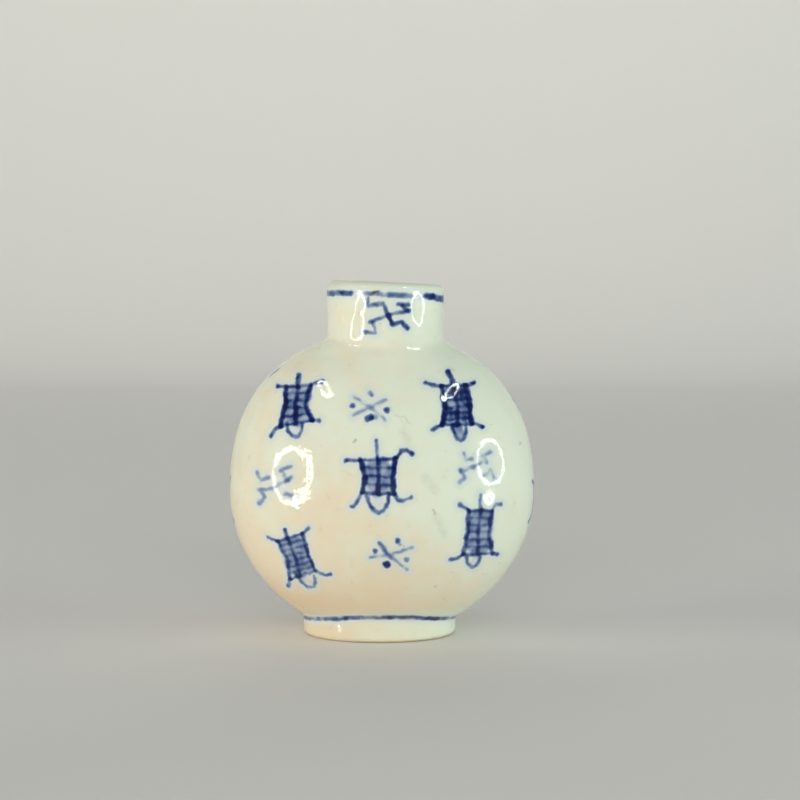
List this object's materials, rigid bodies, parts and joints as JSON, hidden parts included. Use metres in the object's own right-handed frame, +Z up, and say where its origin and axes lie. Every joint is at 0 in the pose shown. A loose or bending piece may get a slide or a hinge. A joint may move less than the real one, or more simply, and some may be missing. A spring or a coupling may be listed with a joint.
{
  "type": "snuff bottle",
  "caption": "Small flattened round porcelain snuff bottle with a short wide neck, open mouth and low oval foot, painted in blue under a glossy glaze.",
  "frame": {"origin": "on the surface the bottle stands on, under the middle of the body", "axes": "+Z up through the mouth, -Y out of the painted front, X along the broad width with +X on the side where the lip is lower"},
  "size_m": [0.0522, 0.035, 0.0605],
  "materials": {
    "porcelain": "warm grey-white porcelain with glossy clear glaze and soft cobalt blue brushwork, unglazed foot ring"
  },
  "bodies": {
    "root": {"bottle": "porcelain"}
  },
  "joints": []
}
